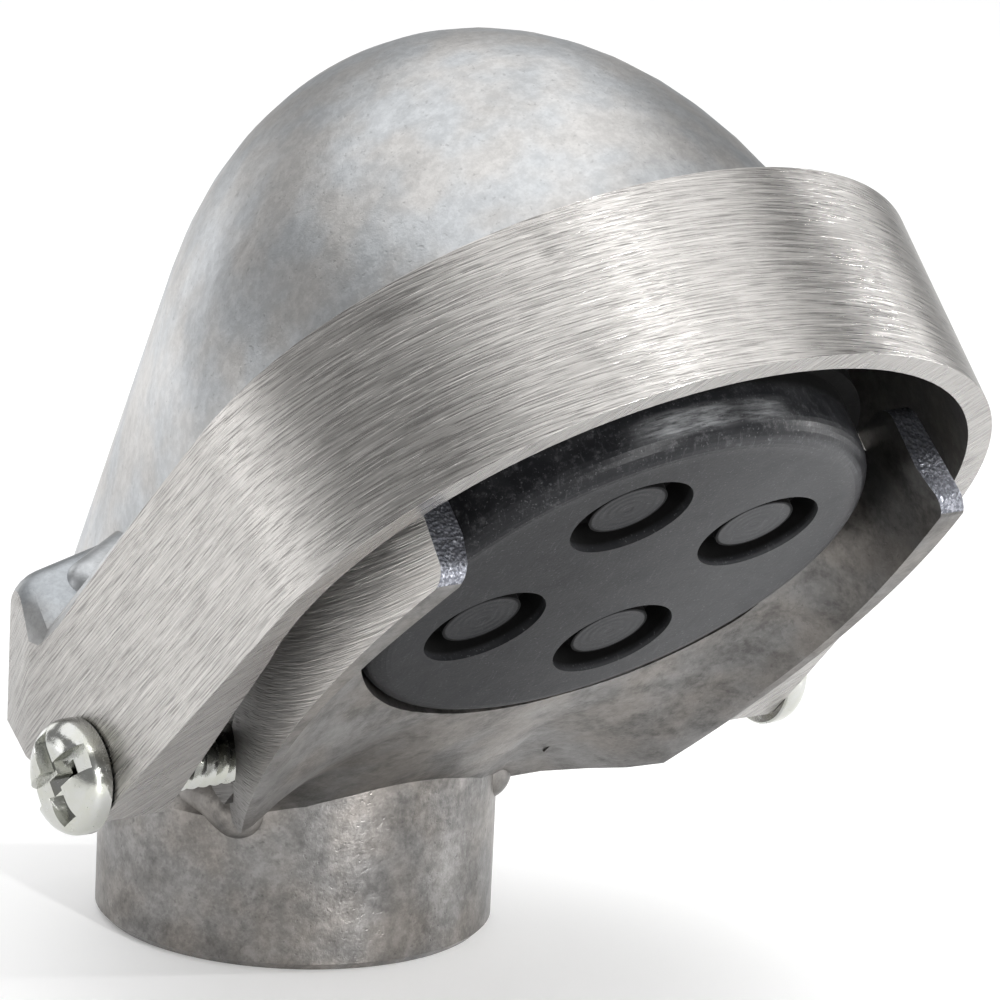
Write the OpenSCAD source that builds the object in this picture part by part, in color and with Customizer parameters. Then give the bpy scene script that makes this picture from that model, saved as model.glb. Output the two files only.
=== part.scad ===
// Service entrance weatherhead: a cast body on a threaded conduit collar, a
// knockout insulator seated in its slanted opening, and a cast hood that hangs
// on two side screws.
//
// Frame: origin at the centre of the collar's lower face, +Z up the conduit
// axis, +X the way the hood reaches, Y across. The opening frame is turned
// about Y by opening_tilt: its x runs up the opening, its z points back into
// the hood, and its z = 0 plane passes through the origin.

/* [Conduit collar] */
// Outside diameter of the collar
collar_d = 32.4; // [31.5:0.1:33]
// Height of the collar below the flange
collar_h = 13; // [11:0.5:14]
// Bore of the threaded socket, at the thread roots
socket_d = 26; // [25:0.1:26.7]
// Depth of the threaded socket
socket_depth = 12; // [10:0.5:13]
// Bore of the throat above the socket
throat_d = 22.4; // [20:0.2:24]

/* [Opening] */
// Angle of the opening plane above the horizontal
opening_tilt = 45; // [44:0.5:46]
// Distance of the insulator axis along the opening
seat_reach = 57.6; // [57:0.1:58.5]

/* [Insulator] */
// Diameter of the insulator's face
insulator_d = 41.8; // [40:0.1:42.4]
// Thickness of the insulator
insulator_t = 7.8; // [7:0.1:9]
// Diameter of a knockout ring
knockout_d = 10; // [8:0.1:11]
// Side of the square on which the knockouts stand
knockout_pitch = 15.9; // [14.5:0.1:17]
// Angle of the knockout square in its seat
knockout_turn = 19.9; // [0:0.1:45]

/* [Hood] */
// Outside radius of the hood's round front
front_r = 31.2; // [30.5:0.1:32]
// Height of the ground band around the hood
band_h = 16.8; // [14:0.1:18]
// Thickness of the band's wall
band_wall = 2; // [1.6:0.1:2.4]
// Half width of the hood across its side lugs
lug_half_w = 32.3; // [32:0.1:32.5]
// Half length of the dome along the opening
dome_half_len = 34; // [32:0.1:35]
// Half width of the dome
dome_half_w = 26.7; // [26:0.1:28]
// Height of the dome above its widest section
dome_rise = 39.3; // [36:0.1:41]
// Wall of the dome
dome_wall = 2.2; // [1.8:0.1:2.6]

/* [Side screws] */
// Diameter of the screws
screw_d = 4.8; // [4.2:0.1:5]
// Diameter of a screw head
head_d = 9.1; // [8:0.1:9.5]
// Length of a screw under its head
screw_len = 19; // [17:0.5:20]
// Distance of the screw axis in front of the conduit axis
pivot_x = 18.2; // [17.5:0.1:19]
// Height of the screw axis
pivot_z = 21; // [20.5:0.1:22]

/* [Hidden] */
$fn = 96;
cut = 100;                    // reach of the cutting solids
eps = 0.01;

// Hood
rim_z = -2;                   // rim plane in the opening frame
band_top = rim_z + band_h;
front_reach = seat_reach - 0.5;
ground_front = 1.4;           // ground off the raw casting in front
ground_side = 0.3;            // and at its sides
cast_reach = front_reach + 0.8;
cast_round = 3.5;             // rounding along the casting's top edge
front_ledge = 4.05;           // width of the ledge in front of the dome
dome_reach = front_reach + front_r - front_ledge - dome_half_len;
dome_z = 7.5;                 // widest section of the dome, opening frame
shelf_t = 2.2;                // shelf between dome and band
skirt_r = collar_d / 2 + 3.55;  // rear skirt, outside
skirt_top = 26;               // height where the skirt runs into the dome
skirt_z = 17.9;               // lower edge of the skirt at skirt_x
skirt_x = 20.8;
skirt_slope = 11.5;           // the lower edge climbs to the rear
lug_rear_x = 9.8;             // rear edge of the flat side face
lug_turn = 17;                // angle of the ground rear corner
lug_wall = 5.8;               // thickness of the lug under the screw head
lug_x = 6.6;                  // centre of the rounding at the lug's rear
lug_in = lug_half_w - 4.1;    // half width to that centre
lug_round = 3.5;
lug_top = 34;                 // top of the lug at its outer edge
lug_rise = 0.25;              // its top climbs towards the dome
lug_fall = 0.45;              // and falls towards the front
cavity_x = 6.7;               // rear end of the space between the lugs
pivot_clear = 0.25;           // radial play of the hood on its screws
head_gap = 0.1;               // play under the screw heads

// Body
ridge_r = 70;                 // plan radius of the flange's side edges
ridge_half_w = 26;            // half width of the flange
ridge_mid = seat_reach - 3.1; // where the flange is widest
corner_s = 26.2;              // rear corner of the flange
corner_y = ridge_half_w - ridge_r + sqrt(pow(ridge_r, 2) - pow(ridge_mid - corner_s, 2));
corner_drop = 4.6;            // depth of the flange's edge at that corner
ridge_slope = 0.045;          // growth of that depth along the opening
heel_s = 15.7;                // where the flange runs into the collar
heel_y = 13.1;
heel_drop = -1.7;
chin_drop = 0;                // depth of the dish where it meets the collar
ear_s = seat_reach + 11.9;    // front ends of the flange's ears
ear_in = 21.2;                // half width between the ears' ends
ear_round = 1.6;              // rounding of an ear's corners, seen from its side
ear_edge_w = 2.2;             // width of an ear's lower edge
web_s = seat_reach + 7.4;     // front end of the web between the ears
ear_floor = -1.8;             // depth of the dish between the ears and the insulator
flange_top = 3.2;
flange_lean = 0.317;          // the side faces lean in as they rise
ear_lean = 0.1;
lip_drop = 2.1;               // depth of the flange's lip round the insulator
seat_clear = 0.2;
seat_r = insulator_d / 2 + seat_clear;
neck_r = collar_d / 2 - 1.2;  // neck behind the flange
neck_rear_z = 28.5;           // top of the neck at its rear
neck_slope = 29;              // the top falls towards the flange
boss_r = 4.9;                 // bosses that the screws go into
boss_y = lug_half_w - 13.9;   // outer ends of the screw bosses
boss_in = throat_d / 2 + 1.2;  // their inner ends, clear of the throat
boss_floor = -0.4;            // the bosses stay above the dish

// Insulator
face_z = -2.65;
shoulder_r = 2;
rim_over = 1.3;               // reach of the insulator's rim over the flange
groove_w = 1.8;
groove_depth = 2.6;
plug_recess = 0.7;

// Screws
head_h = 2.9;

module in_opening() {
    rotate([0, -opening_tilt, 0]) children();
}

// ---- body --------------------------------------------------------------

// Distance from the insulator axis to the flange's edge, at angle a from the
// rear
function edge_side(a) =
    let (m = seat_reach - ridge_mid, c = ridge_r - ridge_half_w,
         b = 2 * (c * sin(a) - m * cos(a)),
         k = m * m + c * c - ridge_r * ridge_r)
    (-b + sqrt(b * b - 4 * k)) / 2;
function edge_heel(a) =
    let (x1 = seat_reach - corner_s, y1 = corner_y,
         x2 = seat_reach - heel_s, y2 = heel_y)
    (x1 * y2 - x2 * y1) / (cos(a) * (y2 - y1) - sin(a) * (x2 - x1));
corner_a = atan2(corner_y, seat_reach - corner_s);
heel_a = atan2(heel_y, seat_reach - heel_s);
function edge_r(a) =
    a > corner_a ? edge_side(a)
    : a > heel_a ? edge_heel(a)
    : (seat_reach - heel_s) / cos(a);
function side_drop(s) = corner_drop + ridge_slope * (s - corner_s);
function edge_drop(a) =
    a > corner_a ? side_drop(seat_reach - edge_r(a) * cos(a))
    : a > heel_a
    ? heel_drop + (corner_drop - heel_drop) * (a - heel_a) / (corner_a - heel_a)
    : chin_drop + (heel_drop - chin_drop) * pow(a / heel_a, 5);

flange_steps = 60;            // sections around the flange
flange_end = 126;             // half angle of the flange, before the ears are cut
ear_from = 55;                // angle where the dish starts to deepen
dish_steps = 8;
edge_w = 1.1;                 // flat on the flange's edge, away from the ears

// 0 along the chin, rising to 1 at the ears
function ear_part(a) =
    let (f = max(0, min(1, (a - ear_from) / (115 - ear_from))))
    f * f * (3 - 2 * f);
// Profile of the dish at angle a: f and the result run from 0 at the lip to 1
// at the edge
function dish(f, a) =
    let (e = ear_part(a), side = max(0, min(1, (a - 20) / 30)), flat = 0.6 * e)
    pow(max(0, f - flat) / (1 - flat), 1.1 + 0.7 * side - e);

// One section through the flange: lip, dished underside, edge, side and top
function flange_section(a) =
    let (m = abs(a), r = edge_r(m), d = edge_drop(m), e = ear_part(m),
         r0 = seat_r - 0.6,
         lip = lip_drop + (ear_floor - lip_drop) * e,
         w = edge_w + (ear_edge_w - edge_w) * e,
         lean = flange_lean + (ear_lean - flange_lean) * e)
    concat(
        [for (i = [0:dish_steps])
            let (f = i / dish_steps)
            [r0 + (r - w - r0) * f, -(lip + (d - lip) * dish(f, m))]],
        [[r, -d], [r - lean * (d + flange_top), flange_top], [r0, flange_top]]);

function flange_point(a, p) =
    [seat_reach - p[0] * cos(a), p[0] * sin(a), p[1]];

module flange() {
    n = dish_steps + 4;
    angles = [for (i = [0:flange_steps])
        -flange_end + 2 * flange_end * i / flange_steps];
    points = [for (a = angles) each
        [for (p = flange_section(a)) flange_point(a, p)]];
    sides = [for (i = [0:flange_steps - 1], j = [0:n - 1])
        let (k = (j + 1) % n)
        [i * n + j, (i + 1) * n + j, (i + 1) * n + k, i * n + k]];
    first = [for (j = [0:n - 1]) j];
    last = [for (j = [n - 1:-1:0]) flange_steps * n + j];
    polyhedron(points, concat([first], sides, [last]), convexity = 6);
}

// What is cut away in front of the ears and between them
module ear_ends() {
    translate([web_s, -ear_in, -cut]) cube([cut, 2 * ear_in, 2 * cut]);
    rotate([90, 0, 0])
    linear_extrude(cut, center = true)
    translate([ear_s - ear_round, 0])
    difference() {
        translate([0, -cut]) square(2 * cut);
        hull()
        for (z = [flange_top - ear_round, ear_round - side_drop(ear_s)])
        translate([0, z]) circle(r = ear_round, $fn = 32);
    }
}

module body() {
    color("silver")
    difference() {
        union() {
            difference() {
                rotate_extrude()
                polygon([
                    [0, 0], [collar_d / 2 - 0.6, 0], [collar_d / 2, 0.6],
                    [collar_d / 2, collar_h - 0.8],
                    [collar_d / 2 - 0.8, collar_h],
                    [neck_r, collar_h], [neck_r, neck_rear_z], [0, neck_rear_z]]);
                translate([-neck_r, 0, neck_rear_z])
                rotate([0, neck_slope, 0])
                translate([-cut, -cut, 0]) cube(2 * cut);
            }
            intersection() {
                translate([0, 0, 1]) cylinder(d = collar_d, h = 2 * collar_h);
                in_opening()
                translate([-cut, -cut, flange_top - 0.5 - 2 * cut]) cube(2 * cut);
            }
            in_opening()
            difference() {
                flange();
                ear_ends();
            }
            intersection() {
                for (side = [-1, 1])
                translate([pivot_x, side * boss_in, pivot_z])
                rotate([-side * 90, 0, 0])
                cylinder(r = boss_r, h = boss_y - boss_in);
                in_opening()
                translate([-cut, -cut, boss_floor]) cube(2 * cut);
            }
        }
        translate([0, 0, -eps]) cylinder(d = socket_d, h = socket_depth + eps);
        cylinder(d = throat_d, h = cut);
        in_opening()
        translate([seat_reach, 0, 0]) {
            translate([0, 0, -cut / 2]) cylinder(r = seat_r, h = cut);
            translate([0, 0, flange_top])
            cylinder(r = seat_r + rim_over + seat_clear, h = cut);
        }
        for (side = [-1, 1])
        translate([pivot_x, side * (lug_half_w - screw_len), pivot_z])
        rotate([-side * 90, 0, 0])
        cylinder(d = screw_d, h = screw_len);
    }
}

// ---- insulator ---------------------------------------------------------

module knockout() {
    difference() {
        cylinder(d = knockout_d, h = groove_depth);
        translate([0, 0, plug_recess])
        cylinder(d = knockout_d - 2 * groove_w, h = groove_depth);
    }
}

module insulator() {
    r = insulator_d / 2;
    color("#2b2c2e")
    in_opening()
    translate([seat_reach, 0, 0])
    difference() {
        rotate_extrude()
        polygon(concat(
            [[0, face_z]],
            [for (i = [0:8])
                let (a = 90 * i / 8)
                [r - shoulder_r * (1 - sin(a)), face_z + shoulder_r * (1 - cos(a))]],
            [[r, flange_top], [r + rim_over, flange_top],
             [r + rim_over, face_z + insulator_t], [0, face_z + insulator_t]]));
        rotate(knockout_turn)
        for (i = [-1, 1], j = [-1, 1])
        translate([i, j, 0] * knockout_pitch / 2)
        translate([0, 0, face_z - eps])
        knockout();
    }
}

// ---- hood --------------------------------------------------------------

module dome(wall) {
    hull() {
        in_opening()
        translate([dome_reach, 0, dome_z])
        scale([dome_half_len - wall, dome_half_w - wall, dome_rise - wall])
        sphere(r = 1, $fn = 64);
        cylinder(r = skirt_r - wall, h = skirt_top, $fn = 64);
    }
}

// Ground outline of the band: a round front and straight sides
module band_outline(wall, rear_half_w) {
    translate([front_reach, 0]) circle(r = front_r - wall);
    polygon([
        [front_reach, -(front_r - wall)], [front_reach, front_r - wall],
        [30, rear_half_w], [-cut, rear_half_w],
        [-cut, -rear_half_w], [30, -rear_half_w]]);
}

// Raw casting of the band, with its rounded top edge
module raw_band() {
    hull()
    for (end = [[-10, lug_half_w + ground_side], [cast_reach, front_r + ground_front]])
    translate([end[0], 0, 0])
    rotate_extrude($fn = 80)
    polygon(concat(
        [[0, rim_z - 1], [end[1], rim_z - 1]],
        [for (i = [0:6])
            let (a = 90 * i / 6)
            [end[1] - cast_round * (1 - cos(a)), band_top - cast_round * (1 - sin(a))]],
        [[0, band_top]]));
}

// Plan of the lugs, with their ground rear corners
module lug_plan() {
    x2 = 2;
    y2 = lug_half_w - (lug_rear_x - x2) * tan(lug_turn);
    polygon([
        [cut, -lug_half_w], [cut, lug_half_w], [lug_rear_x, lug_half_w],
        [x2, y2], [x2, -y2], [lug_rear_x, -lug_half_w]]);
}

function raw_lug_top(at) =
    lug_top - lug_round + lug_rise * (lug_in - at[1]) - lug_fall * (at[0] - lug_x);

// Raw casting of the two lugs in one block with rounded edges, hollowed out
// later
module raw_lugs() {
    front_y = lug_half_w + 0.2 - lug_round;
    hull()
    for (side = [-1, 1],
         at = [[lug_x, lug_in], [11, front_y], [16, front_y], [lug_x, 15], [16, 15]],
         z = [0, raw_lug_top(at)])
    translate([at[0], side * at[1], z])
    sphere(r = lug_round, $fn = 32);
}

module hood() {
    color("gainsboro")
    difference() {
        intersection() {
            union() {
                dome(0);
                intersection() {
                    union() {
                        intersection() {
                            in_opening() raw_band();
                            in_opening()
                            translate([0, 0, rim_z - 2])
                            linear_extrude(band_h + 3)
                            band_outline(0, lug_half_w + 0.1);
                            translate([lug_x + 2, -cut, 0]) cube(2 * cut);
                        }
                        raw_lugs();
                    }
                    linear_extrude(cut) lug_plan();
                }
            }
            in_opening()
            translate([-cut, -cut, rim_z]) cube(3 * cut);
            translate([skirt_x, 0, skirt_z])
            rotate([0, skirt_slope, 0])
            translate([-cut, -cut, 0]) cube(2 * cut);
        }
        dome(dome_wall);
        intersection() {
            in_opening()
            translate([0, 0, -cut])
            linear_extrude(cut + band_top - shelf_t)
            band_outline(band_wall, lug_half_w - lug_wall);
            translate([cavity_x, -cut, 0]) cube(2 * cut);
        }
        for (side = [-1, 1])
        translate([pivot_x, 0, pivot_z])
        rotate([-side * 90, 0, 0])
        cylinder(d = screw_d + 2 * pivot_clear, h = cut);
    }
}

// ---- screws ------------------------------------------------------------

module screw(side) {
    color("#c9c9c6")
    translate([pivot_x, side * (lug_half_w + head_gap), pivot_z])
    rotate([-side * 90, 0, 0]) {
        rotate_extrude()
        polygon(concat(
            [[0, 0], [head_d / 2, 0], [head_d / 2, 0.9]],
            [for (i = [1:8])
                let (a = 90 * i / 8)
                [head_d / 2 - 2.2 + 2.2 * cos(a), 0.9 + (head_h - 0.9) * sin(a)]],
            [[0, head_h]]));
        translate([0, 0, -screw_len - head_gap])
        cylinder(d = screw_d, h = screw_len + head_gap + eps);
    }
}

module screw_left() screw(1);
module screw_right() screw(-1);

body();
insulator();
hood();
screw_left();
screw_right();
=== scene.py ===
"""Looks of a service entrance weatherhead: a cast body on a conduit collar, a
knockout insulator, and a cast hood with a belt-ground band on two screws."""

import math

import bmesh
import bpy
from bpy.props import FloatProperty, FloatVectorProperty, IntProperty, PointerProperty
from mathutils import Matrix, Vector


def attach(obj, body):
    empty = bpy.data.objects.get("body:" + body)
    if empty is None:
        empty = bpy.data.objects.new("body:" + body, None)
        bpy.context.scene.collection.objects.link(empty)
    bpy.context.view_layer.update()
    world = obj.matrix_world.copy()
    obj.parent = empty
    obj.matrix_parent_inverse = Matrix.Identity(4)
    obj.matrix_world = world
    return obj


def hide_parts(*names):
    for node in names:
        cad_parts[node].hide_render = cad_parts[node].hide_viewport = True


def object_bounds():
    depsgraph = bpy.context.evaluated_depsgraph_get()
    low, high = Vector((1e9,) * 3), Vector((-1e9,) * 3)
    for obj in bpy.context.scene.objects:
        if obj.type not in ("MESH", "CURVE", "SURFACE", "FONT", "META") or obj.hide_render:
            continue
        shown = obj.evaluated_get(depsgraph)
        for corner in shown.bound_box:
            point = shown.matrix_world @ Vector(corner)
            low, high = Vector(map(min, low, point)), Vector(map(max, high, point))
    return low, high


bl_info = {
    "name": "Service Entrance Weatherhead",
    "version": (1, 0, 0),
    "blender": (4, 5, 0),
    "location": "View3D > Sidebar > Weatherhead",
    "description": "Builds the looks of a cast weatherhead around its CAD frame",
    "category": "Object",
}

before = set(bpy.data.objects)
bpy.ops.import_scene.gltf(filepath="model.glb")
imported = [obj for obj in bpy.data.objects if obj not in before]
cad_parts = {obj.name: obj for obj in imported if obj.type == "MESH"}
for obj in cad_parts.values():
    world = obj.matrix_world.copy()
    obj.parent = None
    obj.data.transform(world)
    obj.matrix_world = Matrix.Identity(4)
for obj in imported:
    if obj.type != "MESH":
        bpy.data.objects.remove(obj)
cad_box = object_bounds()

MM = 0.001

# Sizes of the CAD parts in millimetres. S runs up the slanted opening, T back
# into the hood from it.
TILT = math.radians(45)
RIM_T = -2.0  # the hood's ground rim
FRONT_S = 57.1  # centre of the band's round front
FRONT_R = 31.2  # and its radius
SIDE_S = 30.0  # the band widens from its front down to here
SIDE_Y = 32.4  # and has this half width there
LUG_Y = 32.3  # half width over the lugs
LUG_REAR_X = 9.8  # behind this the lugs are ground at an angle
LUG_TURN = math.radians(17)
SKIRT_CUT = (20.8, 17.9, math.radians(11.5))  # a point x, z on it and its slope
COLLAR_R = 16.2
COLLAR_H = 13.0
SOCKET_R = 13.0
SOCKET_H = 12.2
SOCKET_THREAD = (1.2, 9.6)  # its start and length
SEAT_S = 57.6  # centre of the insulator
SEAT_R = 21.1  # the recess that it sits in
EAR_S = 69.5  # cut-off ends of the ears
PIVOT = Vector((18.2, 0, 21.0))
HOOD_INSIDE = Vector((22.0, 0, 20.0))  # what faces this point is inside the hood
SCREW_SEAT = 32.4  # underside of the screw heads
SCREW_REACH = 19.1  # length of the shank
SCREW_R = 2.4  # over the thread
HEAD_R = 4.55
HEAD_H = 2.9
CAST_EDGE = 0.14  # rounding of the castings' edges
HEAD_EDGE = 0.09
SHARP = math.radians(40)  # edges above this angle are rounded

# Rows of balls whose hulls fill out the castings: x, y on the +Y side, z, radius.
DOME_FLOW = ((8.8, 25.8, 32.6, 2.6), (4.5, 15.5, 34.0, 3.8))
FLANGE_CORNER = ((9.2, 11.6, 12.9, 2.6), (5.0, 13.2, 13.2, 1.5))

# Name, azimuth and elevation in degrees, distance and size in metres, power in watts.
LIGHTS = (
    ("top", 176, 78, 0.77, (1.4, 1.5), 8.4),
    ("middle strip", 0, 67, 0.5, (0.16, 0.045), 0.12),
    ("right strip", 98, 25, 0.45, (0.05, 0.2), 0.11),
    ("left strip", -128, 0, 0.25, (0.06, 0.12), 0.04),
    ("rear strip", -176, 0, 0.35, (0.12, 0.2), 0.1),
    ("collar strip left", -3, 3, 0.3, (0.018, 0.2), 1.05),
    ("collar strip right", 66, 3, 0.3, (0.014, 0.2), 0.7),
    ("plate light", 25, 40, 0.4, (0.05, 0.05), 0.05),
)
LIT_POINT = Vector((0.022, 0, 0.038))
VIEW_SIDE = 17.003  # how far the line of sight passes beside the origin
VIEW_RISE = 33.444  # and above it


def opening(v):
    """Millimetre point or direction v in the slanted opening's frame: up the
    opening, across, and back into the hood."""
    c, s = math.cos(TILT), math.sin(TILT)
    return Vector((v.x * c + v.z * s, v.y, v.z * c - v.x * s))


# ---- shader expressions ------------------------------------------------------


class Wire:
    """A shader socket that can be written into a Python expression."""

    def __init__(self, finish, socket):
        self.finish, self.socket = finish, socket

    def math(self, operation, *others, clamp=False):
        settings = {"operation": operation, "use_clamp": clamp}
        values = dict(enumerate((self,) + others))
        return self.finish.node("ShaderNodeMath", settings, values)

    def __add__(self, other):
        return self.math("ADD", other)

    __radd__ = __add__

    def __sub__(self, other):
        return self.math("SUBTRACT", other)

    def __rsub__(self, other):
        return self.finish.value(other).math("SUBTRACT", self)

    def __mul__(self, other):
        return self.math("MULTIPLY", other)

    __rmul__ = __mul__

    def __neg__(self):
        return self.math("MULTIPLY", -1.0)

    def __pow__(self, other):
        return self.math("POWER", other)

    def __abs__(self):
        return self.math("ABSOLUTE")

    def above(self, other):
        return self.math("GREATER_THAN", other)

    def most(self, other):
        return self.math("MAXIMUM", other)

    def least(self, other):
        return self.math("MINIMUM", other)

    def clipped(self):
        return self.math("ADD", 0.0, clamp=True)

    def between(self, low, high):
        """0 below low, 1 above high, smooth in between."""
        settings = {"interpolation_type": "SMOOTHSTEP"}
        values = {"Value": self, "From Min": low, "From Max": high}
        return self.finish.node("ShaderNodeMapRange", settings, values)


class Finish:
    """A node material under construction."""

    def __init__(self, name, world=None):
        self.material = world or bpy.data.materials.new(name)
        self.material.use_nodes = True
        self.tree = self.material.node_tree
        self.tree.nodes.clear()

    def node(self, kind, settings=None, values=None, out=0):
        node = self.tree.nodes.new(kind)
        for key, setting in (settings or {}).items():
            setattr(node, key, setting)
        for key, value in (values or {}).items():
            if isinstance(value, Wire):
                self.tree.links.new(value.socket, node.inputs[key])
            else:
                node.inputs[key].default_value = value
        return Wire(self, node.outputs[out]) if node.outputs else None

    def value(self, number):
        wire = self.node("ShaderNodeValue")
        wire.socket.default_value = number
        return wire

    def place(self):
        """Object coordinates in millimetres: x, y, z."""
        where = self.node("ShaderNodeTexCoord", out="Object")
        split = [
            self.node("ShaderNodeSeparateXYZ", values={0: where}, out=i)
            for i in range(3)
        ]
        return [part * 1000.0 for part in split]

    def slanted(self):
        """Object coordinates in the opening's frame, in millimetres."""
        x, y, z = self.place()
        c, s = math.cos(TILT), math.sin(TILT)
        return x * c + z * s, y, z * c - x * s

    def join(self, x, y, z=0.0):
        return self.node("ShaderNodeCombineXYZ", values={0: x, 1: y, 2: z})

    def noise(self, x, y, z=0.0, scale=1.0, detail=2.0, rough=0.5, twist=0.0):
        values = {
            "Vector": self.join(x, y, z),
            "Scale": scale,
            "Detail": detail,
            "Roughness": rough,
            "Distortion": twist,
        }
        return self.node("ShaderNodeTexNoise", {}, values, "Fac")

    def cells(self, x, y, z, scale, out="Distance"):
        values = {"Vector": self.join(x, y, z), "Scale": scale}
        return self.node("ShaderNodeTexVoronoi", {}, values, out)

    def blend(self, factor, first, second):
        values = {"Factor": factor, 6: first, 7: second}
        return self.node("ShaderNodeMix", {"data_type": "RGBA"}, values, 2)

    def bump(self, height, depth, strength=1.0, after=None):
        """Bump from a height of 0 to 1, depth in millimetres."""
        values = {"Height": height, "Distance": depth * MM, "Strength": strength}
        if after:
            values["Normal"] = after
        return self.node("ShaderNodeBump", {}, values, "Normal")

    def finished(self, shader_values):
        shader = self.node("ShaderNodeBsdfPrincipled", {}, shader_values)
        self.node("ShaderNodeOutputMaterial", {}, {"Surface": shader})
        return self.material


def grey(level, warmth=0.0):
    """A grey colour, warmer above 0 and bluer below."""
    return (level * (1 + warmth), level, level * (1 - warmth), 1.0)


# ---- finishes ----------------------------------------------------------------


def cast_metal(name, light, dark, warmth=0.0, grain=1.0, stains=0.0, rough=0.4, painted_shading=None):
    """As-cast aluminium: soft mottling, fine grain and dark blotches. Its last
    argument, when given, scales its brightness by place: painted light and shade."""
    f = Finish(name)
    x, y, z = f.place()
    clouds = f.noise(x, y, z, 0.13, 3.0, 0.6, 0.3).between(0.3, 0.7)
    hues = f.noise(x + 60, y, z, 0.17, 2.0, 0.5).between(0.35, 0.65)
    spots = f.noise(x, y, z, 1.15, 4.0, 0.7).between(0.38, 0.66)
    fine = f.noise(x, y, z, 4.0, 2.0, 0.6)
    pits = f.noise(x + 40, y, z, 2.2, 2.0, 0.5).between(0.62, 0.76)
    tone = (clouds * 0.35 + spots * 0.35 + fine * 0.5 - 0.05).clipped()
    cool = f.blend(tone, grey(dark, warmth - 0.03), grey(light, warmth - 0.03))
    warm = f.blend(tone, grey(dark, warmth + 0.02), grey(light, warmth + 0.02))
    colour = f.blend(hues, cool, warm)
    if stains:
        blotch = f.noise(x, y + 20, z, 0.22, 5.0, 0.7, 0.2).between(0.42, 0.62)
        mottle = f.noise(x + 9, y, z, 1.4, 3.0, 0.65).between(0.35, 0.65)
        stain = blotch * (mottle * 0.5 + 0.5) * stains
        colour = f.blend(stain, colour, grey(dark * 0.45, 0.04))
    colour = f.blend(pits * 0.35, colour, grey(dark * 0.6))
    # Painted light and shade: the colour is blended towards black by place.
    if painted_shading:
        colour = f.blend(painted_shading(f), grey(0.0), colour)
    lumps = f.noise(x, y, z, 0.22, 2.0, 0.5)
    normal = f.bump(lumps, 0.16)
    normal = f.bump(fine * 0.7 + spots * 0.3 - pits * 0.5, 0.016 * grain, 1.0, normal)
    return f.finished(
        {
            "Base Color": colour,
            "Metallic": 1.0,
            "Roughness": fine * 0.1 - clouds * 0.06 + rough,
            "Normal": normal,
        }
    )


def ground_metal(name, place, light, dark, warmth=0.035, depth=0.02, rough=0.26, painted_shading=None):
    """Belt-ground aluminium. place(f) gives the directions along and across
    the scratches in millimetres; the last argument, when given, scales its
    brightness by place: painted light and shade."""
    f = Finish(name)
    along, across = place(f)
    crossed = across - along * 0.05
    lines = f.noise(along * 0.16, across * 6.5, 0.0, 1.0, 1.0, 0.5).between(0.34, 0.66)
    hairs = f.noise(along * 0.25, crossed * 10.0, 4.0, 1.0, 1.0, 0.5).between(0.35, 0.65)
    dashes = f.noise(along * 0.35, across * 9.0, 3.0, 1.0, 0.0, 0.5).between(0.58, 0.72)
    bright = f.noise(along * 0.14, crossed * 9.0, 7.0, 1.0, 0.0, 0.5).between(0.62, 0.74)
    x, y, z = f.place()
    clouds = f.noise(x, y, z, 0.12, 3.0, 0.6, 0.3).between(0.3, 0.7)
    spots = f.noise(x, y, z, 1.1, 2.0, 0.6).between(0.3, 0.7)
    tone = lines * 0.4 + hairs * 0.3 + clouds * 0.1 + spots * 0.1 + bright * 0.45 - dashes * 0.4
    tone = (tone + 0.08).clipped()
    colour = f.blend(tone, grey(dark, warmth), grey(light, warmth))
    # Painted light and shade: the colour is blended towards black by place.
    if painted_shading:
        colour = f.blend(painted_shading(f), grey(0.0), colour)
    height = lines * 0.4 + hairs * 0.25 + bright * 0.4 - dashes * 0.4
    return f.finished(
        {
            "Base Color": colour,
            "Metallic": 1.0,
            "Roughness": lines * 0.08 + dashes * 0.1 + rough,
            "Normal": f.bump(height, depth),
        }
    )


def band_place(f):
    """Round the hood's ground band: along it, and across it, slightly slanted
    round the front."""
    s, y, t = f.slanted()
    ahead = s - FRONT_S
    side = y.above(0.0) * 2.0 - 1.0
    turn = y.math("ARCTAN2", ahead.most(0.0)) * FRONT_R
    return turn + side * (-ahead).most(0.0), t + turn * 0.07


def band_painted_shade(f):
    """Painted shade: darker round the +Y front corner and down at the lugs."""
    s, y, t = f.slanted()
    corner = y.between(14.0, 20.0) * (s - FRONT_S).between(0.0, 6.0)
    return 1.0 - corner * 0.26 - (42.0 - s).between(0.0, 20.0) * 0.24


def rim_place(f):
    """Straight across the hood's ground rim."""
    s, y, t = f.slanted()
    a = math.radians(28)
    return s * math.cos(a) + y * math.sin(a), y * math.cos(a) - s * math.sin(a) + t


def side_place(f):
    """In shallow arcs over the flange's side faces."""
    x, y, z = f.place()
    ahead = x - 25.0
    return x, z - ahead * 0.14 - ahead * abs(ahead) * 0.0085


def side_painted_light_and_shade(f):
    """Painted light and shade: brighter near the ears, darker down towards the collar."""
    s, y, t = f.slanted()
    return s.between(24.0, 58.0) * 0.8 + 0.2


def dome_painted_shade(f):
    """Painted shade: a little darker high on the dome's +Y side."""
    s, y, t = f.slanted()
    return 1.0 - (y * 0.7 + s - 76.0).between(0.0, 12.0) * t.between(12.0, 20.0) * 0.3


def body_painted_shade(f):
    """Darker all over, with painted shade towards the +Y ear and beside the insulator's upper end."""
    s, y, t = f.slanted()
    reach = ((s - SEAT_S) ** 2.0 + y * y).math("SQRT")
    beside = (SEAT_R + 5.0 - reach).between(0.0, 5.0) * s.between(56.0, 64.0)
    return (0.74 - y.between(8.0, 26.0) * 0.22) * (1.0 - beside * 0.65)


def collar_place(f):
    """Round the collar."""
    x, y, z = f.place()
    return y.math("ARCTAN2", x) * COLLAR_R, z


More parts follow.
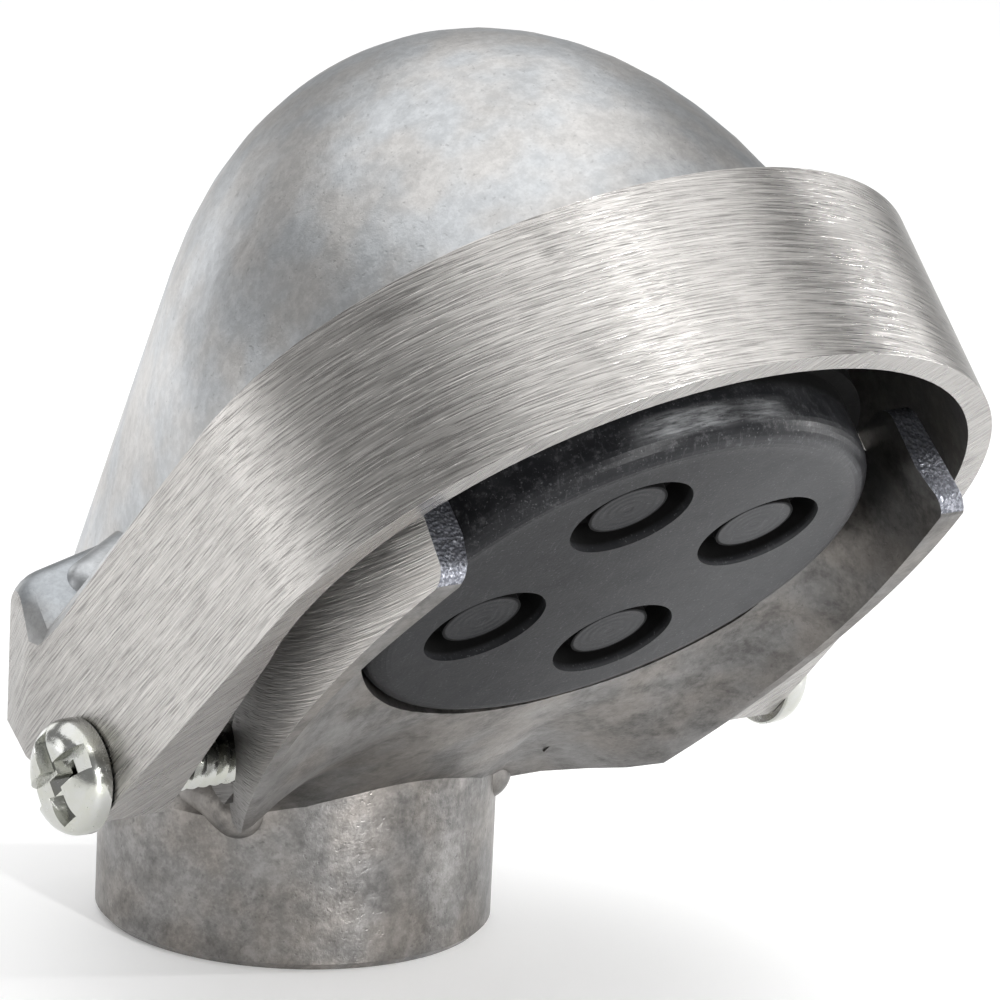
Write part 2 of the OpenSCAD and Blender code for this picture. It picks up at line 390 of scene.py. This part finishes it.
def broken_metal(name):
    """Grey crystalline metal on the flange's cut-off ears."""
    f = Finish(name)
    x, y, z = f.place()
    grains = f.cells(x, y, z, 3.2)
    sparkle = f.cells(x, y, z, 5.0, "Color")
    level = f.node("ShaderNodeSeparateColor", {}, {0: sparkle}, 0)
    fine = f.noise(x, y, z, 3.0, 3.0, 0.6)
    tone = (level * 0.45 + fine * 0.55).between(0.35, 0.85)
    colour = f.blend(tone, (0.13, 0.135, 0.155, 1), (0.4, 0.41, 0.45, 1))
    return f.finished(
        {
            "Base Color": colour,
            "Metallic": 1.0,
            "Roughness": 0.5 - level * 0.15,
            "Normal": f.bump(grains * 0.7 + fine * 0.3, 0.08),
        }
    )


def insulator_plastic(name, colour, knockouts):
    """Dusty moulded plastic with tool marks on the knockout plugs, painted shade in its grooves and
    deep lower part, and a painted highlight on its shoulder.
    """
    f = Finish(name)
    x, y, z = f.place()
    s, across, t = f.slanted()
    near = None
    for ks, ky in knockouts:
        ds, dy = s - ks, across - ky
        r = (ds * ds + dy * dy).math("SQRT")
        near = r if near is None else near.least(r)
    face = (-2.2 - t).between(0.0, 0.3)
    plug = (near * -1.0 + 3.1).between(0.0, 0.2)
    rings = (near * 9.0).math("SINE") * plug
    dimple = (0.55 - near).between(0.0, 0.35)
    dust = f.noise(x, y, z, 0.25, 4.0, 0.65, 0.6).between(0.4, 0.75)
    scuffs = f.noise(s * 0.5, across * 5.0 + s, t, 0.7, 3.0, 0.6).between(0.6, 0.72)
    specks = f.noise(x, y, z, 5.0, 1.0, 0.5).between(0.66, 0.74)
    fine = f.noise(x, y, z, 3.0, 3.0, 0.6)
    reach = ((s - SEAT_S) ** 2.0 + across * across).math("SQRT")
    shoulder = reach.between(17.6, 19.6) * (s - SEAT_S).between(-4.0, 8.0)
    rubbed = shoulder * f.noise(x, y, z, 1.3, 5.0, 0.75).between(0.5, 0.75)
    # Lighter towards +Y over the face and the plugs.
    lighter_towards_plus_y = (across + 10.0).between(0.0, 30.0) * face.most(plug)
    # Painted shade: the grooves round the plugs and the insulator's deep lower part go near black.
    groove_painted_shade = (t + 2.3).between(0.0, 0.5) * (5.4 - near).between(0.0, 0.2) * (1.0 - plug)
    groove_painted_shade = groove_painted_shade.most((t - 1.0).between(0.0, 1.2))
    # Painted highlight: a pale glint in patches along the upper shoulder.
    turn = across.math("ARCTAN2", s - SEAT_S)
    ring = (t + 1.7).between(0.0, 0.8) * (0.9 - t).between(0.0, 1.1)
    streak = f.noise(turn * 9.0, t * 3.0, 0.0, 1.0, 5.0, 0.7).between(0.25, 0.8)
    main_patch = 1.0 - abs(turn + 0.2).between(0.05, 0.28)
    side_patch = 0.6 - abs(turn - 0.12).between(0.0, 0.25)
    painted_glint = ring * streak * main_patch.most(side_patch).clipped()
    pale = tuple(3.0 * c + 0.06 for c in colour[:3]) + (1.0,)
    base = (*colour[:3], 1.0)
    # Wear, dust and scuffs, with the painted highlight added in.
    wear_and_painted_glint = lighter_towards_plus_y * 0.48 + dust * 0.12 + scuffs * 0.2 + specks * 0.5 + rubbed * 0.5 + painted_glint
    shade = f.blend(wear_and_painted_glint.clipped(), base, pale)
    shade = f.blend(painted_glint * 0.75, shade, grey(0.33, -0.02))
    # Painted shade in the grooves and the deep lower part.
    shade = f.blend(groove_painted_shade, shade, (0.001, 0.001, 0.001, 1.0))
    height = fine * 0.3 + rings * 0.13 - dimple * 1.2 * plug
    return f.finished(
        {
            "Base Color": shade,
            "Metallic": 0.0,
            "Roughness": 0.4 + dust * 0.14 + fine * 0.08 - shoulder * 0.12 + groove_painted_shade * 0.5,
            "Specular IOR Level": 0.13,
            "Normal": f.bump(height, 0.06),
        }
    )


def zinc_plate(name, colour):
    """Bright zinc plating with a faint yellow-green cast and small dulled spots."""
    f = Finish(name)
    x, y, z = f.place()
    film = f.noise(x, y, z, 0.5, 3.0, 0.6, 0.5).between(0.3, 0.7)
    dull = f.noise(x, y, z, 1.8, 3.0, 0.65).between(0.5, 0.75)
    fine = f.noise(x, y, z, 6.0, 2.0, 0.6)
    base = (*colour[:3], 1.0)
    tinted = (colour[0] * 0.95, colour[1] * 0.95, colour[2] * 0.88, 1.0)
    shade = f.blend(film, base, tinted)
    return f.finished(
        {
            "Base Color": shade,
            "Metallic": 1.0,
            "Roughness": 0.14 + dull * 0.18 + fine * 0.06,
            "Normal": f.bump(fine * 0.5 + dull * 0.5, 0.012),
        }
    )


# ---- meshes ------------------------------------------------------------------


def object_from(name, mesh, body):
    obj = bpy.data.objects.new(name, mesh)
    bpy.context.scene.collection.objects.link(obj)
    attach(obj, body)
    return obj


def dressed_copy(node, name, body, finishes, choose, sharp_angle):
    """A welded copy of a CAD node whose faces take the finishes that
    choose(centre, normal) names, in millimetres, smooth up to sharp_angle."""
    mesh = bpy.data.meshes.new(name)
    bm = bmesh.new()
    bm.from_mesh(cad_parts[node].data)
    bmesh.ops.remove_doubles(bm, verts=bm.verts, dist=2e-6)
    bmesh.ops.dissolve_degenerate(bm, edges=bm.edges, dist=1e-7)
    names = list(finishes)
    for face in bm.faces:
        face.smooth = True
        centre = face.calc_center_median() / MM
        face.material_index = names.index(choose(centre, face.normal))
    for edge in bm.edges:
        faces = edge.link_faces
        split = len(faces) != 2 or faces[0].material_index != faces[1].material_index
        if not split:
            split = faces[0].normal.angle(faces[1].normal, 0) > sharp_angle
        edge.smooth = not split
    bm.to_mesh(mesh)
    bm.free()
    for key in names:
        mesh.materials.append(finishes[key])
    raw = bpy.data.objects.new(name + " raw", mesh)
    bpy.context.scene.collection.objects.link(raw)
    soften(raw, CAST_EDGE * MM)
    obj = object_from(name, evaluated(raw), body)
    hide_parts(node)
    return obj


def lathe(bm, profile, steps):
    """A closed solid of revolution about Z from an (r, z) profile that starts
    and ends on the axis."""
    rings = []
    for r, z in profile:
        if r == 0:
            rings.append([bm.verts.new((0, 0, z))])
        else:
            rings.append(
                [
                    bm.verts.new((r * math.cos(a), r * math.sin(a), z))
                    for a in (2 * math.pi * i / steps for i in range(steps))
                ]
            )
    for low, high in zip(rings, rings[1:]):
        for i in range(steps):
            j = (i + 1) % steps
            loop = [low[i % len(low)], low[j % len(low)]]
            loop += [high[j % len(high)], high[i % len(high)]]
            corners = list(dict.fromkeys(loop))
            bm.faces.new(corners)


def lobe(name, body, finish, balls, side):
    """The smooth hull of a row of balls, on side 1 for +Y or -1 for -Y."""
    bm = bmesh.new()
    for x, y, z, r in balls:
        place = Matrix.Translation(Vector((x, side * y, z)) * MM) @ Matrix.Scale(r * MM, 4)
        bmesh.ops.create_icosphere(bm, subdivisions=4, radius=1.0, matrix=place)
    hull = bmesh.ops.convex_hull(bm, input=bm.verts)
    spare = {v for key in ("geom_interior", "geom_unused") for v in hull[key]}
    loose = [v for v in spare if isinstance(v, bmesh.types.BMVert)]
    bmesh.ops.delete(bm, geom=loose, context="VERTS")
    for face in bm.faces:
        face.smooth = True
    mesh = bpy.data.meshes.new(name)
    bmesh.ops.recalc_face_normals(bm, faces=bm.faces)
    bm.to_mesh(mesh)
    bm.free()
    mesh.materials.append(finish)
    obj = object_from(name, mesh, body)
    return obj


def plus_prism(bm, low, high):
    """A closed plus-shaped prism; low and high each give its height, the reach
    of its arms along x and y, and their width."""
    rings = []
    for z, a, b, width in (low, high):
        h = width / 2
        quarter = ((a, h), (h, h), (h, b))
        ring = []
        for i, j in ((1, 1), (-1, 1), (-1, -1), (1, -1)):
            corner = quarter if i == j else quarter[::-1]
            ring += [bm.verts.new((i * x, j * y, z)) for x, y in corner]
        rings.append(ring)
    bm.faces.new(rings[0][::-1])
    bm.faces.new(rings[1])
    n = len(rings[0])
    for i in range(n):
        j = (i + 1) % n
        bm.faces.new((rings[0][i], rings[0][j], rings[1][j], rings[1][i]))


def helper(name, bm):
    mesh = bpy.data.meshes.new(name)
    bmesh.ops.recalc_face_normals(bm, faces=bm.faces)
    bm.to_mesh(mesh)
    bm.free()
    obj = bpy.data.objects.new(name, mesh)
    bpy.context.scene.collection.objects.link(obj)
    return obj


def evaluated(obj):
    """The object's mesh with its modifiers applied, and the object removed."""
    graph = bpy.context.evaluated_depsgraph_get()
    mesh = bpy.data.meshes.new_from_object(obj.evaluated_get(graph))
    bpy.data.objects.remove(obj)
    return mesh


def soften(obj, width):
    """Round off the object's sharper edges a little."""
    bevel = obj.modifiers.new("soft edges", "BEVEL")
    bevel.width = width
    bevel.segments = 2
    bevel.limit_method = "ANGLE"
    bevel.angle_limit = SHARP


def carve(target, cutters):
    for cutter in cutters:
        modifier = target.modifiers.new("cut", "BOOLEAN")
        modifier.operation = "DIFFERENCE"
        modifier.solver = "EXACT"
        modifier.object = cutter
    soften(target, HEAD_EDGE)
    mesh = evaluated(target)
    for cutter in cutters:
        bpy.data.objects.remove(cutter)
    return mesh


def thread_tree():
    """Geometry nodes for one helical thread ridge about Z, rising from 0: a
    square on its corner, squeezed to the depth and swept along a spiral."""
    tree = bpy.data.node_groups.new("thread ridge", "GeometryNodeTree")
    face = tree.interface
    face.new_socket("Geometry", in_out="OUTPUT", socket_type="NodeSocketGeometry")
    for label, start in (("Radius", 2.0), ("Pitch", 1.0), ("Length", 10.0), ("Depth", 0.5)):
        socket = face.new_socket(label, in_out="INPUT", socket_type="NodeSocketFloat")
        socket.default_value = start
    face.new_socket("Finish", in_out="INPUT", socket_type="NodeSocketMaterial")

    def node(kind, **values):
        made = tree.nodes.new(kind)
        for label, value in values.items():
            feed(made.inputs[label.replace("_", " ")], value)
        return made

    def feed(socket, value):
        if isinstance(value, bpy.types.NodeSocket):
            tree.links.new(value, socket)
        else:
            socket.default_value = value

    def number(operation, first, second):
        made = tree.nodes.new("ShaderNodeMath")
        made.operation = operation
        feed(made.inputs[0], first)
        feed(made.inputs[1], second)
        return made.outputs[0]

    given = node("NodeGroupInput").outputs
    half = math.sqrt(0.5)
    spiral = node(
        "GeometryNodeCurveSpiral",
        Resolution=40,
        Rotations=number("DIVIDE", given["Length"], given["Pitch"]),
        Start_Radius=given["Radius"],
        End_Radius=given["Radius"],
        Height=given["Length"],
    )
    upright = node("GeometryNodeSetCurveNormal", Curve=spiral.outputs["Curve"])
    upright.mode = "Z_UP"
    width = number("MULTIPLY", given["Pitch"], 0.96)
    height = number("MULTIPLY", given["Depth"], 2.0)
    square = node("GeometryNodeCurvePrimitiveQuadrilateral", Width=width, Height=width)
    square.mode = "RECTANGLE"
    turned = node("GeometryNodeTransform", Geometry=square.outputs["Curve"])
    turned.inputs["Rotation"].default_value = (0.0, 0.0, math.radians(45))
    side = number("MULTIPLY", number("DIVIDE", height, width), half)
    scale = node("ShaderNodeCombineXYZ", X=side, Y=half, Z=1.0)
    squeezed = node(
        "GeometryNodeTransform", Geometry=turned.outputs["Geometry"], Scale=scale.outputs[0]
    )
    sweep = node(
        "GeometryNodeCurveToMesh",
        Curve=upright.outputs["Curve"],
        Profile_Curve=squeezed.outputs["Geometry"],
        Fill_Caps=True,
    )
    real = node("GeometryNodeRealizeInstances", Geometry=sweep.outputs["Mesh"])
    paint = node(
        "GeometryNodeSetMaterial", Geometry=real.outputs["Geometry"], Material=given["Finish"]
    )
    node("NodeGroupOutput", Geometry=paint.outputs["Geometry"])
    return tree


def thread_mesh(name, radius, pitch, length, depth, finish):
    """One thread ridge as a plain mesh in millimetres."""
    tree = thread_tree()
    obj = helper(name, bmesh.new())
    modifier = obj.modifiers.new("thread", "NODES")
    modifier.node_group = tree
    sizes = {"Radius": radius, "Pitch": pitch, "Length": length, "Depth": depth}
    sizes["Finish"] = finish
    for item in tree.interface.items_tree:
        if item.in_out == "INPUT":
            modifier[item.identifier] = sizes[item.name]
    return evaluated(obj)


# ---- settings ----------------------------------------------------------------


class CastingSettings(bpy.types.PropertyGroup):
    """The two castings."""

    dome_light: FloatProperty(
        name="Dome, light",
        description="Reflectance of the dome's lighter patches",
        default=0.57,
        min=0,
        max=1,
    )
    dome_dark: FloatProperty(
        name="Dome, dark",
        description="Reflectance of the dome's darker patches",
        default=0.36,
        min=0,
        max=1,
    )
    ground_light: FloatProperty(
        name="Ground, light",
        description="Reflectance between the grinding scratches",
        default=0.6,
        min=0,
        max=1,
    )
    ground_dark: FloatProperty(
        name="Ground, dark",
        description="Reflectance in the grinding scratches",
        default=0.28,
        min=0,
        max=1,
    )
    body_light: FloatProperty(
        name="Body, light",
        description="Reflectance of the body's lighter patches",
        default=0.42,
        min=0,
        max=1,
    )
    body_dark: FloatProperty(
        name="Body, dark",
        description="Reflectance of the body's darker patches",
        default=0.24,
        min=0,
        max=1,
    )
    soft_angle: FloatProperty(
        name="Soft angle",
        description="Edges up to this angle are shaded smooth",
        default=math.radians(30),
        subtype="ANGLE",
    )
    pipe_pitch: FloatProperty(
        name="Pipe thread pitch",
        description="Pitch of the collar's inner thread",
        default=1.814 * MM,
        unit="LENGTH",
    )
    pipe_depth: FloatProperty(
        name="Pipe thread depth",
        description="Height of the collar's inner thread",
        default=0.9 * MM,
        unit="LENGTH",
    )


class InsulatorSettings(bpy.types.PropertyGroup):
    """The knockout insulator."""

    colour: FloatVectorProperty(
        name="Colour",
        description="Colour of the plastic",
        subtype="COLOR",
        size=3,
        default=(0.009, 0.0093, 0.0105),
        min=0,
        max=1,
    )
    square: FloatProperty(
        name="Knockout square",
        description="Side of the square on which the knockouts stand",
        default=15.9 * MM,
        unit="LENGTH",
    )
    turn: FloatProperty(
        name="Knockout turn",
        description="Angle of that square in its seat",
        default=math.radians(19.9),
        subtype="ANGLE",
    )


class ScrewSettings(bpy.types.PropertyGroup):
    """The two side screws."""

    colour: FloatVectorProperty(
        name="Colour",
        description="Colour of the zinc plating",
        subtype="COLOR",
        size=3,
        default=(0.53, 0.535, 0.52),
        min=0,
        max=1,
    )
    pitch: FloatProperty(
        name="Pitch",
        description="Pitch of the screw thread",
        default=1.06 * MM,
        unit="LENGTH",
    )
    depth: FloatProperty(
        name="Depth",
        description="Height of the thread ridge",
        default=0.75 * MM,
        unit="LENGTH",
    )
    slot: FloatProperty(
        name="Slot",
        description="Width of the screwdriver slot",
        default=2.0 * MM,
        unit="LENGTH",
    )
    slot_angle: FloatProperty(
        name="Slot angle",
        description="Turn of the slot from the horizontal",
        default=math.radians(40),
        subtype="ANGLE",
    )
    steps: IntProperty(
        name="Steps",
        description="Facets round a screw head",
        default=96,
        min=24,
        max=256,
    )


class StageSettings(bpy.types.PropertyGroup):
    """Floor, lights and camera."""

    floor: FloatProperty(
        name="Floor",
        description="Reflectance of the floor",
        default=0.86,
        min=0,
        max=1,
    )
    floor_glow: FloatProperty(
        name="Floor glow",
        description="Light given off by the floor, as a light table does",
        default=0.24,
        min=0,
    )
    sky: FloatProperty(
        name="Surroundings",
        description="Brightness of the surroundings",
        default=0.3,
        min=0,
    )
    azimuth: FloatProperty(
        name="Azimuth",
        description="Direction of the camera about the vertical",
        default=math.radians(54.147),
        subtype="ANGLE",
    )
    elevation: FloatProperty(
        name="Elevation",
        description="Height of the camera above the horizon",
        default=math.radians(14.94),
        subtype="ANGLE",
    )
    roll: FloatProperty(
        name="Roll",
        description="Turn of the camera about its own axis",
        default=math.radians(2.696),
        subtype="ANGLE",
    )
    distance: FloatProperty(
        name="Distance",
        description="Camera to object",
        default=603.447 * MM,
        unit="LENGTH",
    )
    lens: FloatProperty(
        name="Lens",
        description="Focal length in millimetres",
        default=265.07,
    )


# ---- operators ---------------------------------------------------------------


# Left and right in the names of lights and of the hulls are as seen from the
# front, with +Y on the right. The screws are named as the hood faces, +Y left.


class WEATHERHEAD_OT_hood(bpy.types.Operator):
    """Dress the hood: as-cast dome, belt-ground band and rim"""

    bl_idname = "weatherhead.hood"
    bl_label = "Hood"

    def choose(self, centre, normal):
        p, n = opening(centre), opening(normal)
        if n.z < -0.9 and p.z < RIM_T + 0.1:
            return "rim"
        cut_x, cut_z, cut_a = SKIRT_CUT
        if abs(centre.z - cut_z - (cut_x - centre.x) * math.tan(cut_a)) < 0.1:
            if normal.z < -0.9:
                return "rim"
        side = abs(p.y)
        if p.x > FRONT_S:
            ground = abs(math.hypot(p.x - FRONT_S, p.y) - FRONT_R) < 0.08
        else:
            reach = min(FRONT_S - p.x, FRONT_S - SIDE_S) / (FRONT_S - SIDE_S)
            ground = side > min(FRONT_R + (SIDE_Y - FRONT_R) * reach, LUG_Y) - 0.07
        if centre.x < LUG_REAR_X:
            limit = LUG_Y - (LUG_REAR_X - centre.x) * math.tan(LUG_TURN)
            ground = ground or side > limit - 0.07
        if ground and n.y * p.y + n.x * (p.x - FRONT_S) > 0:
            return "ground"
        # Faces towards the hood's inside take a much darker finish: painted shade.
        if (centre - HOOD_INSIDE).dot(normal) < 0:
            return "inside"
        return "lug" if side > 22 and centre.x < 17 and centre.z < 37 else "cast"

    def execute(self, context):
        c = context.scene.weatherhead_casting
        finishes = {
            "cast": cast_metal("as-cast dome", c.dome_light, c.dome_dark, painted_shading=dome_painted_shade),
            "ground": ground_metal(
                "belt-ground band", band_place, c.ground_light, c.ground_dark, painted_shading=band_painted_shade
            ),
            "rim": ground_metal("ground rim", rim_place, c.ground_light * 0.76, c.ground_dark * 0.85),
            # Painted shade: a much darker cast finish for the hood's inner faces.
            "inside": cast_metal("hood inside painted shade", 0.17, 0.07, 0.04, 1.6, 0.4, 0.5),
            "lug": cast_metal("as-cast lugs", c.dome_light * 0.8, c.dome_dark * 0.75, -0.02),
        }
        obj = dressed_copy("hood", "hood_casting", "cover", finishes, self.choose, c.soft_angle)
        for label, side in (("left", -1), ("right", 1)):
            lobe("dome_flow_" + label, "cover", finishes["cast"], DOME_FLOW, side)
        return {"FINISHED"}


class WEATHERHEAD_OT_body(bpy.types.Operator):
    """Dress the body: collar, dished flange, cut-off ears and pipe thread"""

    bl_idname = "weatherhead.body"
    bl_label = "Body"

    def choose(self, centre, normal):
        p, n = opening(centre), opening(normal)
        r = math.hypot(centre.x, centre.y)
        if p.x > EAR_S - 1.7 and n.x > 0.3:
            return "ear"
        if r < SOCKET_R + 0.1 and centre.z < SOCKET_H:
            return "bore"
        if r > COLLAR_R - 0.7 and centre.z < COLLAR_H + 0.2 and abs(normal.z) < 0.8:
            return "collar"
        out = Vector((p.x - SEAT_S, p.y))
        away = out.x * n.x + out.y * n.y
        if out.length > SEAT_R + 0.5 and away > 0 and abs(n.z) < 0.45 and p.z > -9 and p.x > 16:
            return "side"
        return "cast"

    def execute(self, context):
        c = context.scene.weatherhead_casting
        finishes = {
            "cast": cast_metal(
                "as-cast body", c.body_light, c.body_dark, 0.05, 1.6, 0.7, painted_shading=body_painted_shade
            ),
            "collar": cast_metal(
                "collar skin", c.body_light * 0.77, c.body_dark * 0.52, 0.055, 1.4, 0.5, 0.31
            ),
            "side": ground_metal(
                "ground flange side", side_place, 1.0, 0.6, depth=0.03, rough=0.5, painted_shading=side_painted_light_and_shade
            ),
            "bore": ground_metal("turned socket", collar_place, c.ground_light, c.ground_dark),
            "ear": broken_metal("cut-off ears"),
        }
        obj = dressed_copy("body", "body_casting", "base", finishes, self.choose, c.soft_angle)
        for label, side in (("left", -1), ("right", 1)):
            lobe("flange_corner_" + label, "base", finishes["cast"], FLANGE_CORNER, side)
        start, length = SOCKET_THREAD
        pitch, depth = c.pipe_pitch / MM, c.pipe_depth / MM
        mesh = thread_mesh("pipe thread", SOCKET_R, pitch, length, depth, finishes["bore"])
        mesh.transform(Matrix.Translation((0, 0, start * MM)) @ Matrix.Scale(MM, 4))
        thread = object_from("socket_thread", mesh, "base")
        return {"FINISHED"}


class WEATHERHEAD_OT_insulator(bpy.types.Operator):
    """Dress the knockout insulator"""

    bl_idname = "weatherhead.insulator"
    bl_label = "Insulator"

    def execute(self, context):
        c = context.scene.weatherhead_insulator
        half = c.square / MM / 2
        spots = []
        for i in (-1, 1):
            for j in (-1, 1):
                v = Matrix.Rotation(c.turn, 2) @ Vector((i * half, j * half))
                spots.append((SEAT_S + v.x, v.y))
        finish = insulator_plastic("insulator plastic", c.colour, spots)
        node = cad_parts["insulator"]
        node.data.materials.clear()
        node.data.materials.append(finish)
        return {"FINISHED"}


class WEATHERHEAD_OT_screws(bpy.types.Operator):
    """Make the two side screws with their recesses and threads"""

    bl_idname = "weatherhead.screws"
    bl_label = "Screws"

    def head(self, c):
        """Pan head with a combined slot and cross recess, in millimetres, its
        seat at z = 0."""
        edge, shoulder = 0.9, 2.2
        profile = [(0, 0), (HEAD_R - 0.15, 0), (HEAD_R, 0.15)]
        for i in range(13):
            a = math.pi / 2 * i / 12
            r = HEAD_R - shoulder * (1 - math.cos(a))
            profile.append((r, edge + (HEAD_H - edge) * math.sin(a)))
        profile += [(1.4, HEAD_H), (0, HEAD_H)]
        bm = bmesh.new()
        lathe(bm, profile, c.steps)
        target = helper("head", bm)
        slot = c.slot / MM
        # The slot and cross, then the deeper socket in their middle.
        shapes = (
            ((HEAD_H - 1.2, HEAD_R + 0.5, 3.5, slot), (HEAD_H + 0.5, HEAD_R + 0.6, 3.7, slot + 0.1)),
            ((HEAD_H - 2.4, 1.2, 1.2, slot * 0.45), (HEAD_H + 0.3, 3.3, 3.2, slot * 0.9)),
        )
        cutters = []
        for low, high in shapes:
            bm = bmesh.new()
            plus_prism(bm, low, high)
            cutters.append(helper("recess", bm))
        return carve(target, cutters)

    def execute(self, context):
        c = context.scene.weatherhead_screws
        finish = zinc_plate("zinc plate", c.colour)
        depth = c.depth / MM
        core = SCREW_R - depth
        tip = 0.7 - SCREW_REACH
        shank = [(0, -SCREW_REACH), (core - 0.6, -SCREW_REACH), (core, tip), (core, 0.5), (0, 0.5)]
        for name, side in (("screw_left", 1), ("screw_right", -1)):
            bm = bmesh.new()
            bm.from_mesh(self.head(c))
            lathe(bm, shank, 48)
            ridge = thread_mesh("ridge", core, c.pitch / MM, SCREW_REACH - 1.2, depth, finish)
            ridge.transform(Matrix.Translation((0, 0, tip)))
            bm.from_mesh(ridge)
            spin = Matrix.Rotation(-side * math.pi / 2, 4, "X")
            turn = Matrix.Rotation(-c.slot_angle * side, 4, "Z")
            seat = Matrix.Translation(Vector((PIVOT.x, side * SCREW_SEAT, PIVOT.z)) * MM)
            bm.transform(seat @ Matrix.Scale(MM, 4) @ spin @ turn)
            bmesh.ops.recalc_face_normals(bm, faces=bm.faces)
            mesh = bpy.data.meshes.new(name + "_detailed")
            for face in bm.faces:
                face.smooth = True
                face.material_index = 0
            for e in bm.edges:
                angle = e.calc_face_angle(0) if len(e.link_faces) == 2 else 4
                e.smooth = angle < math.radians(35)
            bm.to_mesh(mesh)
            bm.free()
            mesh.materials.clear()
            mesh.materials.append(finish)
            obj = object_from(name + "_detailed", mesh, "base")
            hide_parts(name)
        return {"FINISHED"}


class WEATHERHEAD_OT_stage(bpy.types.Operator):
    """Set the floor, the lights and the camera"""

    bl_idname = "weatherhead.stage"
    bl_label = "Stage"

    def softbox(self, name, azimuth, elevation, distance, size, power):
        a, e = math.radians(azimuth), math.radians(elevation)
        out = Vector((math.cos(a) * math.cos(e), math.sin(a) * math.cos(e), math.sin(e)))
        light = bpy.data.lights.new(name, "AREA")
        light.shape = "RECTANGLE"
        light.size, light.size_y = size
        light.energy = power
        obj = bpy.data.objects.new(name, light)
        obj.location = LIT_POINT + out * distance
        obj.rotation_euler = out.to_track_quat("Z", "Y").to_euler()
        bpy.context.scene.collection.objects.link(obj)

    def execute(self, context):
        c = context.scene.weatherhead_stage
        bm = bmesh.new()
        bmesh.ops.create_grid(bm, x_segments=1, y_segments=1, size=4.0)
        floor = helper("floor", bm)
        floor.location.z = cad_box[0].z - 0.0001
        f = Finish("pale floor")
        x, y, z = f.place()
        shade = f.blend(f.noise(x, y, z, 0.02), grey(c.floor), grey(c.floor * 0.985))
        glow = {"Emission Color": shade, "Emission Strength": c.floor_glow}
        floor.data.materials.append(f.finished({"Base Color": shade, "Roughness": 0.6, **glow}))
        for light in LIGHTS:
            self.softbox(*light)
        world = bpy.data.worlds.new("surroundings")
        context.scene.world = world
        w = Finish("surroundings", world)
        back = w.node("ShaderNodeBackground", {}, {"Color": grey(1.0), "Strength": c.sky})
        w.node("ShaderNodeOutputWorld", {}, {"Surface": back})
        context.scene.view_settings.view_transform = "Standard"
        self.camera(context.scene, c)
        return {"FINISHED"}

    def camera(self, scene, c):
        data = bpy.data.cameras.new("camera")
        data.lens = c.lens
        data.sensor_width = 36.0
        data.clip_start, data.clip_end = 0.01, 10.0
        az, el, roll = c.azimuth, c.elevation, c.roll
        back = Vector((math.sin(az) * math.cos(el), -math.cos(az) * math.cos(el), math.sin(el)))
        level = Vector((math.cos(az), math.sin(az), 0))
        rise = back.cross(level)
        right = level * math.cos(roll) + rise * math.sin(roll)
        up = rise * math.cos(roll) - level * math.sin(roll)
        turn = Matrix((right, up, back)).transposed().to_4x4()
        place = right * VIEW_SIDE * MM + up * VIEW_RISE * MM + back * c.distance
        obj = bpy.data.objects.new("camera", data)
        scene.collection.objects.link(obj)
        obj.matrix_world = Matrix.Translation(place) @ turn
        scene.camera = obj


class WEATHERHEAD_PT_panel(bpy.types.Panel):
    """Weatherhead pieces in the sidebar"""

    bl_label = "Weatherhead"
    bl_space_type = "VIEW_3D"
    bl_region_type = "UI"
    bl_category = "Weatherhead"

    def draw(self, context):
        for piece, group in PIECES:
            box = self.layout.box()
            box.operator(piece.bl_idname)
            settings = getattr(context.scene, group)
            for key in settings.__annotations__:
                box.prop(settings, key)


GROUPS = (
    ("weatherhead_casting", CastingSettings),
    ("weatherhead_insulator", InsulatorSettings),
    ("weatherhead_screws", ScrewSettings),
    ("weatherhead_stage", StageSettings),
)
PIECES = (
    (WEATHERHEAD_OT_hood, "weatherhead_casting"),
    (WEATHERHEAD_OT_body, "weatherhead_casting"),
    (WEATHERHEAD_OT_insulator, "weatherhead_insulator"),
    (WEATHERHEAD_OT_screws, "weatherhead_screws"),
    (WEATHERHEAD_OT_stage, "weatherhead_stage"),
)
CLASSES = tuple(g for _, g in GROUPS) + tuple(p for p, _ in PIECES) + (WEATHERHEAD_PT_panel,)


def register():
    for cls in CLASSES:
        bpy.utils.register_class(cls)
    for name, group in GROUPS:
        setattr(bpy.types.Scene, name, PointerProperty(type=group))


def unregister():
    for name, _ in GROUPS:
        delattr(bpy.types.Scene, name)
    for cls in reversed(CLASSES):
        bpy.utils.unregister_class(cls)


def main():
    register()
    bpy.ops.weatherhead.hood()
    bpy.ops.weatherhead.body()
    bpy.ops.weatherhead.insulator()
    bpy.ops.weatherhead.screws()
    bpy.ops.weatherhead.stage()


if __name__ == "__main__":
    main()
